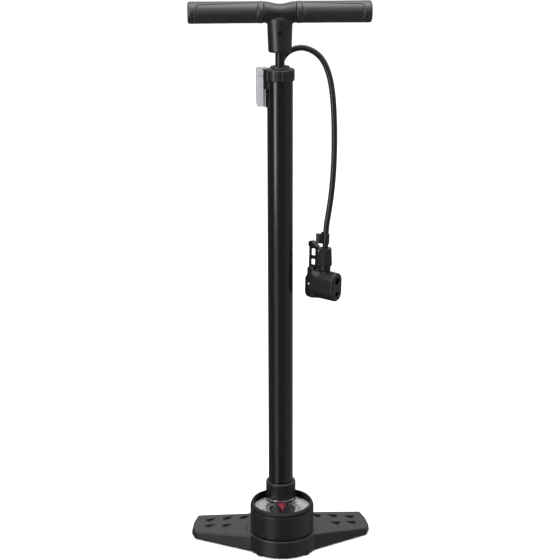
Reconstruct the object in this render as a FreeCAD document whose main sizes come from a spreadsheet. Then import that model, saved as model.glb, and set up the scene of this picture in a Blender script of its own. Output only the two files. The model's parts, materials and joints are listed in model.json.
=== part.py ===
# Floor bike pump: a steel barrel on a winged foot with a gauge, a T handle, a hose and a twin-port head.
# Millimetres. The barrel's axis is the Z axis and the floor is Z = 0. The gauge faces -Y.
import FreeCAD, Part
import math
import os
import re
import Sketcher
from FreeCAD import Placement, Rotation, Vector

DIMENSIONS = [
    ("foot_gap", 1.0, "height of the base's rim above the floor"),
    ("base_top", 21.0, "top of the base, where the gauge housing stands"),
    ("gauge_y", 25.0, "how far the gauge housing's axis is in front of the barrel"),
    ("boss_low", 43.2, "radius of the base's round boss at the floor"),
    ("boss_high", 41.5, "radius of the base's round boss at its top"),
    ("wing_root", 38.0, "where a wing leaves the boss"),
    ("wing_front", 46.0, "front edge of a wing at its root"),
    ("wing_rear", 23.5, "rear edge of a wing at its root"),
    ("wing_tip", 108.5, "half the width of the base"),
    ("wing_root_top", 20.5, "height of a wing at its root"),
    ("wing_fall", 0.1646, "slope of a wing's top"),
    ("wing_draft", 7.0, "draft of the base's side walls, degrees"),
    ("base_floor", 5.0, "thickness of the base under the housing"),
    ("tread_length", 6.4, "half length of a tread bump"),
    ("tread_width", 3.6, "half width of a tread bump"),
    ("tread_height", 2.5, "half height of a tread bump"),
    ("pad_radius", 5.0, "radius of a rubber foot pad"),
    ("pad_sunk", 1.5, "depth that a foot pad is let into the base"),
    ("housing_radius", 37.8, "radius of the gauge housing"),
    ("housing_top", 50.0, "top of the gauge housing, under the bezel"),
    ("dial_seat", 46.0, "height of the dial's underside"),
    ("cavity_radius", 31.0, "radius of the gauge cavity"),
    ("bezel_top", 55.0, "top of the bezel ring"),
    ("window_radius", 32.7, "radius of the window in the bezel"),
    ("lens_radius", 34.9, "radius of the lens"),
    ("lens_thick", 2.7, "thickness of the lens"),
    ("hub_y", 31.5, "how far the needle's pivot is in front of the barrel"),
    ("collar_radius", 17.9, "radius of the collar that holds the barrel"),
    ("collar_top", 72.7, "top of the collar"),
    ("collar_gap", 0.2, "gap between the collar and the pieces cut out round it"),
    ("barrel_radius", 14.6, "outer radius of the barrel"),
    ("barrel_wall", 1.2, "wall of the barrel"),
    ("barrel_foot", 30.0, "bottom end of the barrel"),
    ("barrel_head", 566.0, "top end of the barrel"),
    ("slip", 0.05, "radial clearance of a fit"),
    ("cap_radius", 16.9, "radius of the top cap"),
    ("cap_low", 556.0, "lower edge of the top cap"),
    ("cap_shoulder", 569.3, "shoulder of the top cap"),
    ("cap_top", 572.1, "top of the cap's boss"),
    ("cap_boss", 10.8, "radius of the cap's boss"),
    ("clip_x", 1.5, "sideways place of the hose clip"),
    ("clip_y", 20.5, "how far the hose clip is behind the barrel's axis"),
    ("rod_radius", 5.25, "radius of the piston rod"),
    ("rod_neck", 4.0, "radius of the rod's lower end"),
    ("rod_top", 617.0, "top end of the rod, inside the handle"),
    ("piston_low", 45.5, "underside of the piston"),
    ("piston_high", 61.0, "top of the piston"),
    ("grip_z", 632.0, "height of the handle bar's axis"),
    ("grip_radius", 12.1, "radius of a grip"),
    ("grip_end", 102.4, "half the length of the handle"),
    ("hub_bottom", 587.8, "lower end of the handle's stem"),
    ("stem_low", 13.1, "radius of the handle's stem at its lower end"),
    ("stem_high", 14.4, "radius of the handle's stem under the bar"),
    ("saddle", 9.4, "radius of the bar's waist at the middle"),
    ("spigot", 8.0, "radius of the bar inside a grip"),
    ("screw_z", 610.0, "height of the handle's cross screw"),
    ("outlet_y", 24.0, "how far the hose outlet is behind the barrel's axis"),
    ("outlet_top", 45.0, "top of the outlet nipple, where the hose starts"),
    ("hose_radius", 3.35, "outer radius of the hose"),
    ("case_back", 19.0, "back of the accessory case, from the barrel's axis"),
    ("case_front", 26.6, "outer face of the accessory case"),
    ("case_half", 11.0, "half the width of the accessory case"),
    ("case_low", 528.4, "bottom of the accessory case"),
    ("case_seam", 562.5, "seam between the case and its lid"),
    ("case_top", 569.9, "top of the case's lid"),
    ("case_wall", 1.1, "wall of the accessory case"),
    ("head_half", 10.0, "half the thickness of the pump head"),
    ("head_top", 27.0, "depth of the head's top below the hose end"),
    ("head_bottom", 61.5, "depth of the head's underside below the hose end"),
    ("head_seam", 5.3, "where the port cap meets the head"),
    ("head_face", 19.0, "face of the port cap"),
    ("large_port", 4.4, "radius of the large port"),
    ("small_port", 3.4, "radius of the small port"),
    ("large_depth", 37.0, "depth of the large port below the hose end"),
    ("small_depth", 53.0, "depth of the small port below the hose end"),
    ("seal_radius", 6.1, "radius of a port seal"),
    ("pin_x", 15.3, "how far the lever's pin is behind the hose"),
    ("pin_depth", 44.0, "depth of the lever's pin below the hose end"),
    ("pin_radius", 1.2, "radius of the lever's pin"),
]

# The head hangs turned about the hose by these angles, in degrees.
HEAD_YAW = -38.0
HEAD_TILT = 1.5
HEAD_TURN = -3.0
HEAD_POINT = Vector(52.3, 2.2, 360.4)

doc = FreeCAD.newDocument("FloorPump")
sheet = doc.addObject("Spreadsheet::Sheet", "Dims")
for row, (alias, size, note) in enumerate(DIMENSIONS, start=1):
    sheet.set("A%d" % row, note)
    sheet.set("B%d" % row, str(size))
    sheet.setAlias("B%d" % row, alias)
doc.recompute()

WORDS = {alias for alias, size, note in DIMENSIONS}
NODES = []


def bound(expression):
    """The expression with each dimension's name pointing at the sheet."""
    return re.sub(r"[a-z_]+", lambda m: "Dims." + m.group(0) if m.group(0) in WORDS else m.group(0), expression)


def size(expression):
    """The expression's value now."""
    return float(sheet.evalExpression(expression))


def bind(thing, prop, expression):
    thing.setExpression(prop, bound(expression))


def new_body(label, place=None):
    body = doc.addObject("PartDesign::Body", label)
    body.Label = label
    if place is not None:
        body.Placement = place
    NODES.append(body)
    return body


def plane_of(body, plane):
    return [item for item in body.Origin.OriginFeatures if item.Role == plane + "_Plane"][0]


def plane_sketch(body, plane, lift):
    """An empty sketch on one of the body's own planes, lifted along the plane's normal."""
    sketch = body.newObject("Sketcher::SketchObject", body.Label + "_sketch")
    sketch.AttachmentSupport = [(plane_of(body, plane), "")]
    sketch.MapMode = "FlatFace"
    if lift != "0":
        bind(sketch, "AttachmentOffset.Base.z", lift)
    return sketch


def hold_point(sketch, geometry, corner, across, up):
    """Two dimensions from the sketch's origin hold one point."""
    for kind, axis, expression in (("DistanceX", -2, across), ("DistanceY", -1, up)):
        if expression == "0":
            sketch.addConstraint(Sketcher.Constraint("PointOnObject", geometry, corner, axis))
        else:
            value = size(expression)
            index = sketch.addConstraint(Sketcher.Constraint(kind, -1, 1, geometry, corner, value))
            bind(sketch, "Constraints[%d]" % index, expression)


def outline(body, plane, points, lift="0"):
    """A closed outline with straight sides, each corner held by two dimensions."""
    sketch = plane_sketch(body, plane, lift)
    corners = [Vector(size(across), size(up), 0) for across, up in points]
    count = len(corners)
    for index in range(count):
        sketch.addGeometry(Part.LineSegment(corners[index], corners[(index + 1) % count]), False)
    for index in range(count):
        sketch.addConstraint(Sketcher.Constraint("Coincident", index, 2, (index + 1) % count, 1))
    for index, (across, up) in enumerate(points):
        hold_point(sketch, index, 1, across, up)
    return sketch


def circles(body, plane, rounds, lift="0"):
    """Circles given as (across, up, radius), held by dimensions."""
    sketch = plane_sketch(body, plane, lift)
    for index, (across, up, radius) in enumerate(rounds):
        centre = Vector(size(across), size(up), 0)
        sketch.addGeometry(Part.Circle(centre, Vector(0, 0, 1), size(radius)), False)
        hold_point(sketch, index, 3, across, up)
        held = sketch.addConstraint(Sketcher.Constraint("Radius", index, size(radius)))
        bind(sketch, "Constraints[%d]" % held, radius)
    return sketch


def volume_of(body):
    doc.recompute()
    return body.Shape.Volume


def grow(body, sketch, length, draft=None, middle=False):
    """Pads a sketch along its normal."""
    pad = body.newObject("PartDesign::Pad", body.Label + "_pad")
    pad.Profile = sketch
    bind(pad, "Length", length)
    pad.Midplane = middle
    if draft is not None:
        bind(pad, "TaperAngle", draft)
    doc.recompute()
    return pad


def cut(body, sketch, length=None, forward=False, middle=False):
    """Pockets a sketch: against its normal, along it, or both ways, and checks that it cuts."""
    before = volume_of(body)
    pocket = body.newObject("PartDesign::Pocket", body.Label + "_pocket")
    pocket.Profile = sketch
    if length is None:
        pocket.Type = 1
    else:
        bind(pocket, "Length", length)
    pocket.Reversed = forward
    pocket.Midplane = middle
    if volume_of(body) >= before - 1e-6:
        raise RuntimeError("a pocket of %s cuts nothing" % body.Label)
    return pocket


def turn(body, sketch, axis="V_Axis", angle=None):
    """Revolves a sketch about one of its own axes."""
    spin = body.newObject("PartDesign::Revolution", body.Label + "_turn")
    spin.Profile = sketch
    spin.ReferenceAxis = (sketch, [axis])
    if angle is None:
        spin.Angle = 360
    else:
        spin.Midplane = True
        bind(spin, "Angle", angle)
    doc.recompute()
    return spin


def turned(label, points, place=None, plane="XZ", axis="V_Axis"):
    """A piece turned on a lathe: (radius, height) corners about the piece's own axis."""
    body = new_body(label, place)
    turn(body, outline(body, plane, points), axis)
    return body


def edge_names(shape, wanted):
    return ["Edge%d" % (index + 1) for index, edge in enumerate(shape.Edges) if wanted(edge)]


def soften(body, radius, wanted, kind="Fillet"):
    """Rounds or chamfers the edges of the body that answer the description."""
    doc.recompute()
    base = body.Tip
    names = edge_names(base.Shape, wanted)
    if not names:
        raise RuntimeError("%s has no such edge" % body.Label)
    feature = body.newObject("PartDesign::" + kind, body.Label + "_" + kind.lower())
    feature.Base = (base, names)
    bind(feature, "Radius" if kind == "Fillet" else "Size", radius)
    doc.recompute()
    return feature


def middle_of(edge):
    return edge.valueAt((edge.FirstParameter + edge.LastParameter) / 2)


def is_round(edge, height, tolerance=0.01):
    """A flat round edge at a height."""
    box = edge.BoundBox
    return abs(box.ZMin - height) < tolerance and abs(box.ZMax - height) < tolerance and box.XLength > 1


def joined(label, items):
    """One node of several equal loose solids."""
    group = doc.addObject("Part::Compound", label)
    group.Label = label
    group.Links = items
    NODES.append(group)
    return group


# ---------------------------------------------------------------- the base

def wing_edge(across, front):
    """Where a wing's front or rear edge is at a place along the wing."""
    if front:
        return "-wing_front + (%s - wing_root) * 0.579" % across
    return "wing_rear + (%s - wing_root) * 0.310" % across


def base_outline():
    right = [
        ("12", "33"), ("wing_root", "wing_rear"), ("wing_tip - 7.5", "43"), ("wing_tip - 1.8", "24"),
        ("wing_tip", "6"), ("wing_tip - 4", "-7.5"), ("wing_root", "-wing_front"), ("15", "-60.8"),
    ]
    left = [("-(%s)" % across, up) for across, up in reversed(right)]
    return right + left


def make_base():
    body = new_body("base")
    plan = outline(body, "XY", base_outline(), "foot_gap")
    grow(body, plan, "base_top - foot_gap", "-wing_draft")
    reach = "wing_root_top - (%s - wing_root) * wing_fall"
    slope = [
        ("-120", "40"), ("-120", reach % "120"), ("-wing_root + 8", reach % "(wing_root - 8)"),
        ("wing_root - 8", reach % "(wing_root - 8)"), ("120", reach % "120"), ("120", "40"),
    ]
    cut(body, outline(body, "XZ", slope), "200", middle=True)
    soften(body, "2.2", wing_top_edge)
    boss = outline(body, "XZ", [("0", "foot_gap"), ("boss_low", "foot_gap"), ("boss_high", "base_top"),
                                ("0", "base_top")], "gauge_y")
    turn(body, boss)
    add_treads(body)
    hollow_base(body)
    return body


def wing_top_edge(edge):
    """The long edges round the sloping top of each wing."""
    here = middle_of(edge)
    low = min(edge.BoundBox.ZMin, edge.BoundBox.ZMax)
    on_top = low > 6 and edge.Length > 9
    return on_top and abs(here.x) > 45 and edge.BoundBox.XLength + edge.BoundBox.YLength > 9


def add_treads(body):
    """Long low bumps, five on each wing, that stand out more at the wing's outer end."""
    spots = [(85, 22.5), (64, 18.8), (43.6, 12.8), (85.8, 6.2), (65.5, -1.3)]
    for across, along in spots:
        for side in (-1, 1):
            bump = body.newObject("PartDesign::AdditiveEllipsoid", "tread")
            bind(bump, "Radius1", "tread_height")
            bind(bump, "Radius2", "tread_length")
            bind(bump, "Radius3", "tread_width")
            height = size("wing_root_top - (%s - wing_root) * wing_fall" % across)
            bump.AttachmentSupport = [(plane_of(body, "XY"), "")]
            bump.MapMode = "FlatFace"
            bump.AttachmentOffset = Placement(Vector(side * across, along, height - 0.3), Rotation())
            doc.recompute()


def hollow_base(body):
    """Pockets in the underside, with ribs between them, and the holes for screws and pads."""
    cut(body, circles(body, "XY", [("0", "-31", "21")], "foot_gap"), "base_top - base_floor - foot_gap",
        forward=True)
    heads = [(across, up, "4.2") for across, up in screw_spots()]
    cut(body, circles(body, "XY", heads, "foot_gap"), "base_top - base_floor - foot_gap", forward=True)
    for near, far, deep in (("40", "55", "10"), ("58", "72", "7.5")):
        for side in ("", "-"):
            corners = [(near, wing_edge(near, True) + " + 7"), (far, wing_edge(far, True) + " + 7"),
                       (far, wing_edge(far, False) + " - 6"), (near, wing_edge(near, False) + " - 6")]
            corners = [("%s(%s)" % (side, across), up) for across, up in corners]
            cut(body, outline(body, "XY", corners, "foot_gap"), deep, forward=True)
    cut(body, circles(body, "XY", [(across, up, "2.2") for across, up in screw_spots()]), forward=True)
    pads = [(across, up, "pad_radius + slip") for across, up in pad_spots()]
    cut(body, circles(body, "XY", pads, "foot_gap"), "pad_sunk", forward=True)


def screw_spots():
    return [("24", "-12"), ("-24", "-12"), ("19", "-44"), ("-19", "-44")]


def pad_spots():
    return [("92", "14"), ("-92", "14"), ("26", "-54"), ("-26", "-54"), ("0", "0")]


def make_foot_pads():
    pads = []
    for across, up in pad_spots():
        pad = doc.addObject("Part::Cylinder", "pad")
        bind(pad, "Radius", "pad_radius")
        bind(pad, "Height", "foot_gap + pad_sunk")
        pad.Placement.Base = Vector(size(across), size(up), 0)
        pads.append(pad)
    joined("foot_pads", pads)


def make_base_screws():
    """Pan-head screws that hold the gauge housing on the base."""
    screws = []
    for across, up in screw_spots():
        place = Vector(size(across), size(up), 0)
        screws.append(simple_screw(place, "base_top - base_floor", "3.8", "2.6", "2.0", "14"))
    joined("base_screws", screws)


def simple_screw(place, seat, head_radius, head_height, shank_radius, shank_length):
    """A screw pointing up, with its head just under the seat."""
    head = doc.addObject("Part::Cylinder", "head")
    bind(head, "Radius", head_radius)
    bind(head, "Height", head_height)
    head.Placement.Base = place + Vector(0, 0, size(seat) - size(head_height))
    shank = doc.addObject("Part::Cylinder", "shank")
    bind(shank, "Radius", shank_radius)
    bind(shank, "Height", shank_length)
    shank.Placement.Base = place + Vector(0, 0, size(seat))
    slot = doc.addObject("Part::Box", "slot")
    bind(slot, "Length", head_radius + " * 1.5")
    slot.Width = 1.0
    slot.Height = 1.0
    slot.Placement.Base = head.Placement.Base - Vector(size(head_radius) * 0.75, 0.5, 0)
    whole = doc.addObject("Part::Fuse", "screw")
    whole.Base = head
    whole.Tool = shank
    slotted = doc.addObject("Part::Cut", "slotted")
    slotted.Base = whole
    slotted.Tool = slot
    return slotted


# ------------------------------------------------------- the gauge housing

def make_housing():
    body = new_body("gauge_housing")
    cup = [
        ("0", "base_top"), ("housing_radius", "base_top"), ("housing_radius", "housing_top"),
        ("34.2", "housing_top"), ("34.2", "dial_seat"), ("cavity_radius", "dial_seat"),
        ("cavity_radius", "base_top + 3"), ("0", "base_top + 3"),
    ]
    turn(body, outline(body, "XZ", cup, "gauge_y"))
    grow(body, circles(body, "XY", [("0", "0", "collar_radius")], "base_top"), "collar_top - base_top")
    soften(body, "1.0", lambda edge: is_round(edge, size("collar_top")), "Chamfer")
    grow(body, circles(body, "XY", [("0", "outlet_y - 1", "8")], "base_top"), "19")
    bosses = [(across, up, "4.4") for across, up in screw_spots()]
    grow(body, circles(body, "XY", bosses, "base_top"), "13")
    cut(body, circles(body, "XY", [("0", "0", "barrel_radius + slip")], "collar_top"), "collar_top - barrel_foot")
    cut(body, circles(body, "XY", [("0", "0", "10")], "barrel_foot"), "5")
    cut(body, circles(body, "XY", [("0", "outlet_y", "3.3")], "base_top + 19"), "14")
    pilot = [(across, up, "2.03") for across, up in screw_spots()]
    cut(body, circles(body, "XY", pilot, "base_top"), "11.5", forward=True)
    cut(body, circles(body, "XZ", [("0", "27.5", "1.6")], "-outlet_y"), "outlet_y", forward=True)
    cut(body, circles(body, "XZ", [("0", "27.5", "2.4")], "0"), "collar_radius + 2", forward=True)
    return body


def bitten(body, height):
    """Cuts the collar's round bite out of a disc or ring of the gauge."""
    bite = circles(body, "XY", [("0", "0", "collar_radius + collar_gap")], height)
    cut(body, bite, "40", middle=True)


def gauge_disc(label, radius, low, thick):
    body = new_body(label)
    grow(body, circles(body, "XY", [("0", "-gauge_y", radius)], low), thick)
    bitten(body, low)
    return body


def make_gauge():
    dial = gauge_disc("gauge_dial", "33.9", "dial_seat", "0.8")
    cut(dial, circles(dial, "XY", [("0", "-hub_y", "1.2")]), "dial_seat + 5", forward=True)
    lens = gauge_disc("gauge_lens", "lens_radius", "housing_top + 0.02", "lens_thick")
    soften(lens, "0.5", lambda edge: is_round(edge, size("housing_top + 0.02 + lens_thick")), "Chamfer")
    bezel = new_body("gauge_bezel")
    ring = [
        ("window_radius", "housing_top + 3"), ("window_radius", "bezel_top - 1.0"),
        ("window_radius + 0.6", "bezel_top"), ("housing_radius - 3.4", "bezel_top"),
        ("housing_radius - 1.5", "bezel_top - 0.7"), ("housing_radius - 0.35", "bezel_top - 2.2"),
        ("housing_radius", "bezel_top - 3.8"), ("housing_radius", "housing_top + 0.02"),
        ("35.1", "housing_top + 0.02"), ("35.1", "housing_top + 3"),
    ]
    turn(bezel, outline(bezel, "XZ", ring, "gauge_y"))
    bitten(bezel, "housing_top")
    make_movement()


def make_movement():
    """The sealed capsule under the dial, its inlet and its pointer."""
    here = Placement(Vector(0, -size("hub_y"), 0), Rotation())
    shell = [
        ("0", "30"), ("12", "30"), ("12", "dial_seat - 0.2"), ("11.2", "dial_seat - 0.2"), ("11.2", "31"), ("0", "31"),
    ]
    turned("gauge_capsule", shell, here)
    plate = [("1.05", "41"), ("10.9", "41"), ("10.9", "42.2"), ("1.05", "42.2")]
    turned("movement_plate", plate, here)
    tube = new_body("bourdon_tube", here)
    arc = outline(tube, "XZ", [("7.6", "34"), ("9.6", "34"), ("9.6", "39.5"), ("7.6", "39.5")])
    turn(tube, arc, angle="280")
    stem = new_body("gauge_inlet")
    grow(stem, circles(stem, "XZ", [("0", "27.5", "2.36")], "10.5"), "7.0")
    make_needle(here)


def make_needle(here):
    """The pointer with its weighted tail, on its arbor."""
    needle = new_body("gauge_needle", here)
    blade = [("-1.3", "0"), ("-0.35", "-13.4"), ("0.35", "-13.4"), ("1.3", "0"), ("1.3", "5"), ("-1.3", "5")]
    grow(needle, outline(needle, "XY", blade, "47.9"), "0.6")
    grow(needle, circles(needle, "XY", [("0", "8", "4.1")], "47.9"), "0.6")
    grow(needle, circles(needle, "XY", [("0", "0", "2.6")], "47.9"), "1.1")
    cut(needle, circles(needle, "XY", [("0", "0", "0.95")], "50"), "4")
    arbor = [("0", "32"), ("0.95", "32"), ("0.95", "49.2"), ("0", "49.2")]
    turned("needle_arbor", arbor, here)


# --------------------------------------------------------------- the barrel

def make_barrel():
    inner = "barrel_radius - barrel_wall"
    tube = [(inner, "barrel_foot"), ("barrel_radius", "barrel_foot"), ("barrel_radius", "barrel_head"),
            (inner, "barrel_head")]
    turned("barrel", tube)
    plug = [
        ("2", "38.5"), ("2", "44.5"), (inner + " - slip", "44.5"), (inner + " - slip", "40.5"), ("11.4", "40.5"),
        ("11.4", "38.1"), (inner + " - slip", "38.1"), (inner + " - slip", "barrel_foot + 0.1"),
        ("5.2", "barrel_foot + 0.1"), ("5.2", "38.5"),
    ]
    turned("foot_valve_body", plug)
    turned("foot_valve_ring", [("11.45", "38.2"), (inner + " - 0.02", "38.2"), (inner + " - 0.02", "40.4"),
                               ("11.45", "40.4")])
    turned("valve_poppet", [("0", "36.6"), ("4.3", "36.6"), ("4.3", "38.4"), ("0", "38.4")])
    turned("valve_seat_plate", [("2.4", "barrel_foot + 0.1"), ("5.1", "barrel_foot + 0.1"),
                                ("5.1", "barrel_foot + 1.1"), ("2.4", "barrel_foot + 1.1")])
    make_valve_spring()


def make_valve_spring():
    body = new_body("valve_spring")
    wire = circles(body, "XZ", [("3.4", "31.5", "0.3")])
    coil = body.newObject("PartDesign::AdditiveHelix", "coil")
    coil.Profile = wire
    coil.ReferenceAxis = (wire, ["V_Axis"])
    coil.Mode = 0
    coil.Pitch = 1.3
    coil.Height = 3.2
    doc.recompute()


def make_cap():
    body = new_body("top_cap")
    inner = "barrel_radius + slip"
    shell = [
        (inner, "cap_low"), ("cap_radius - 0.5", "cap_low"), ("cap_radius", "cap_low + 0.6"),
        ("cap_radius", "cap_shoulder - 1.6"), ("cap_radius - 0.8", "cap_shoulder - 0.4"),
        ("cap_radius - 2.2", "cap_shoulder"), ("cap_boss + 0.3", "cap_shoulder + 0.6"), ("cap_boss", "cap_top"),
        ("7.5", "cap_top"), ("7.5", "barrel_head"), (inner, "barrel_head"),
    ]
    turn(body, outline(body, "XZ", shell))
    tongue = [("-" + inner.replace("+", "-"), "525.8"), ("-15.9", "525.8"), ("-15.9", "cap_low + 3"),
              ("-" + inner.replace("+", "-"), "cap_low + 3")]
    turn(body, outline(body, "XZ", tongue), angle="84")
    add_rail_channel(body)
    add_hose_clip(body)
    return body


def add_rail_channel(body):
    """The slotted block that the accessory case's rail drops into."""
    block = [("-18.7", "-8.8"), ("-13.4", "-8.8"), ("-13.4", "8.8"), ("-18.7", "8.8")]
    grow(body, outline(body, "XY", block, "548"), "cap_shoulder - 548")
    slot = [
        ("-19.5", "-4.2"), ("-17.95", "-4.2"), ("-17.95", "-6.3"), ("-15.95", "-6.3"), ("-15.95", "6.3"),
        ("-17.95", "6.3"), ("-17.95", "4.2"), ("-19.5", "4.2"),
    ]
    cut(body, outline(body, "XY", slot, "cap_shoulder"), "cap_shoulder - 540")
    bore = circles(body, "XY", [("0", "0", "barrel_radius + slip")], "barrel_head")
    cut(body, bore, "barrel_head - 540")


def add_hose_clip(body):
    """An open ring behind the cap that holds the hose upright."""
    bridge = [("clip_x - 2.6", "15"), ("clip_x + 2.6", "15"), ("clip_x + 2.6", "clip_y - 3"),
              ("clip_x - 2.6", "clip_y - 3")]
    grow(body, outline(body, "XY", bridge, "cap_low + 1"), "8")
    grow(body, circles(body, "XY", [("clip_x", "clip_y", "hose_radius + 2")], "cap_low + 1"), "8")
    cut(body, circles(body, "XY", [("clip_x", "clip_y", "hose_radius + 0.1")], "cap_low + 10"), "12")
    mouth = [("clip_x - 2.3", "clip_y"), ("clip_x + 2.3", "clip_y"), ("clip_x + 3.2", "clip_y + 7"),
             ("clip_x - 3.2", "clip_y + 7")]
    cut(body, outline(body, "XY", mouth, "cap_low + 10"), "12")


# --------------------------------------------------------- the moving piston

def make_piston():
    inner = "barrel_radius - barrel_wall"
    carrier = [
        ("rod_neck + slip", "piston_low + 3"), (inner + " - 0.5", "piston_low + 3"),
        (inner + " - 0.5", "piston_low + 4.5"), ("9.4", "piston_low + 4.5"), ("9.4", "piston_high - 3"),
        (inner + " - 0.5", "piston_high - 3"), (inner + " - 0.5", "piston_high"), ("rod_neck + slip", "piston_high"),
    ]
    turned("piston_carrier", carrier)
    seal = [
        ("9.45", "piston_low + 4.6"), (inner + " - 0.06", "piston_low + 4.6"), (inner + " - 0.06", "piston_high - 3.1"),
        ("11.6", "piston_high - 3.1"), ("11.2", "piston_low + 6.5"), ("9.45", "piston_low + 6.5"),
    ]
    turned("piston_seal", seal)
    rod = [
        ("0", "piston_low + 0.2"), ("rod_neck", "piston_low + 0.2"), ("rod_neck", "piston_high + 0.1"),
        ("rod_radius", "piston_high + 0.1"), ("rod_radius", "rod_top - 1"), ("rod_radius - 1", "rod_top"),
        ("3.9", "rod_top"), ("3.9", "piston_high + 6"), ("0", "piston_high + 6"),
    ]
    tube = turned("piston_rod", rod)
    cut(tube, circles(tube, "XZ", [("0", "screw_z", "1.45")], "2.0"), "6", forward=True)
    nut = new_body("piston_nut")
    grow(nut, outline(nut, "XY", hexagon("7.4"), "piston_low + 0.1"), "2.7")
    cut(nut, circles(nut, "XY", [("0", "0", "rod_neck + 0.01")], "piston_low + 5"), "10")
    turned("rod_bush", [("rod_radius + slip", "561"), ("12.5", "561"), ("12.5", "563"), ("7.45", "563"),
                        ("7.45", "cap_top + 0.5"), ("rod_radius + slip", "cap_top + 0.5")])


def hexagon(radius):
    """Corner expressions of a hexagon with corners on the X axis."""
    corners = []
    for index in range(6):
        angle = math.radians(60 * index)
        across = "%s * %.6f" % (radius, math.cos(angle))
        up = "%s * %.6f" % (radius, math.sin(angle))
        corners.append((across, up))
    return corners


# --------------------------------------------------------------- the handle

def make_handle():
    core = new_body("handle_core")
    half = [
        ("0", "saddle"), ("6.8", "saddle + 0.1"), ("10.4", "saddle + 0.9"), ("13.6", "saddle + 1.8"),
        ("17.2", "saddle + 2.5"), ("17.9", "saddle + 2.6"), ("17.9", "spigot"), ("grip_end - 6", "spigot"),
    ]
    profile = [("6 - grip_end", "0")]
    profile += [("-(%s)" % across, up) for across, up in reversed(half[1:])]
    profile += half + [("grip_end - 6", "0")]
    bar = outline(core, "XZ", [(across, "grip_z + " + up) for across, up in profile])
    turn(core, bar, "Edge%d" % len(profile))
    add_stem(core)
    for side, name in ((-1, "left"), (1, "right")):
        make_grip(side, name)
    screw = Placement(Vector(0, 0, size("screw_z")), Rotation(Vector(1, 0, 0), 90))
    turned("handle_screw", [("0", "3.0"), ("1.4", "3.0"), ("1.4", "9.6"), ("2.2", "9.6"), ("2.2", "11.3"),
                            ("1.1", "11.3"), ("1.1", "10.6"), ("0", "10.6")], screw)


def add_stem(core):
    stem = [
        ("0", "hub_bottom"), ("stem_low - 0.9", "hub_bottom"), ("stem_low", "hub_bottom + 0.9"),
        ("stem_high", "grip_z - 14"), ("stem_high - 0.3", "grip_z - 11.5"), ("stem_high - 1.4", "grip_z - 8.5"),
        ("stem_high - 3.4", "grip_z - 5"), ("saddle - 1", "grip_z - 1"), ("0", "grip_z + 2"),
    ]
    turn(core, outline(core, "XZ", stem))
    cut(core, circles(core, "XY", [("0", "0", "rod_radius + slip")], "rod_top + 0.5"), "rod_top + 0.5 - hub_bottom")
    cut(core, circles(core, "XZ", [("0", "screw_z", "2.3")], "9.5"), "8", forward=True)
    cut(core, circles(core, "XZ", [("0", "screw_z", "1.45")], "2.9"), "8", forward=True)


def make_grip(side, name):
    """A soft sleeve with a hard end cap on one side of the bar."""
    toward = Rotation(Vector(0, 1, 0), 90 * side)
    place = Placement(Vector(0, 0, size("grip_z")), toward)
    sleeve = [
        ("spigot + slip", "18.2"), ("grip_radius - 0.3", "18.2"), ("grip_radius", "19"), ("grip_radius", "70"),
        ("grip_radius + 0.15", "grip_end - 8"), ("spigot + slip", "grip_end - 8"),
    ]
    turned(name + "_grip", sleeve, place)
    cap = [
        ("0", "grip_end - 5.9"), ("spigot", "grip_end - 5.9"), ("spigot", "grip_end - 7.9"),
        ("grip_radius + 0.2", "grip_end - 7.9"), ("grip_radius + 0.1", "grip_end - 2"),
        ("grip_radius - 0.7", "grip_end - 0.6"), ("grip_radius - 2.4", "grip_end"), ("0", "grip_end"),
    ]
    turned(name + "_grip_cap", cap, place)


# ---------------------------------------------------------- the outlet and hose

def make_outlet():
    here = Placement(Vector(0, size("outlet_y"), 0), Rotation())
    nipple = [
        ("1.4", "31"), ("3.25", "31"), ("3.25", "40.2"), ("5.2", "40.2"), ("5.2", "43.6"), ("3.4", "outlet_top"),
        ("1.4", "outlet_top"),
    ]
    turned("hose_outlet", nipple, here)
    turned("outlet_ferrule", [("hose_radius + 0.03", "outlet_top + 0.05"), ("4.3", "outlet_top + 0.05"),
                              ("4.3", "outlet_top + 10"), ("3.9", "outlet_top + 11"),
                              ("hose_radius + 0.03", "outlet_top + 11")], here)


def head_frame():
    turn_about = Rotation(Vector(0, 0, 1), HEAD_TURN)
    tilt = Rotation(Vector(0, 1, 0), HEAD_TILT)
    yaw = Rotation(Vector(0, 0, 1), HEAD_YAW)
    return Placement(HEAD_POINT, turn_about.multiply(tilt).multiply(yaw))


def hose_route():
    """The hose's route: up behind the barrel, through the cap's clip, over and down to the head."""
    up_axis = head_frame().Rotation.multVec(Vector(0, 0, 1))
    start = Vector(0, size("outlet_y"), size("outlet_top"))
    clip = Vector(size("clip_x"), size("clip_y"), 0)
    behind = [
        start, start + Vector(0, 0, 40), Vector(-0.6, 24.5, 145), Vector(-1.5, 24.2, 225), Vector(-1.4, 22.9, 310),
        Vector(-0.5, 21.5, 392), Vector(0.7, 20.9, 462), Vector(1.3, 20.6, 512), clip + Vector(0, 0, 545),
        clip + Vector(0, 0, 569.5),
    ]
    over = [
        Vector(4.3, 20.4, 579.0), Vector(12.0, 20.1, 586.9), Vector(24.5, 19.3, 590.6), Vector(36.5, 18.2, 587.6),
        Vector(47.5, 16.8, 579.4), Vector(55.0, 15.4, 565.5), Vector(59.9, 13.6, 545.0), Vector(62.4, 11.0, 513.0),
        Vector(62.6, 7.5, 468.0), Vector(59.9, 4.6, 428.0), Vector(55.7, 3.1, 400.0),
    ]
    return behind + over + [HEAD_POINT + up_axis * 24.0, HEAD_POINT]


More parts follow.
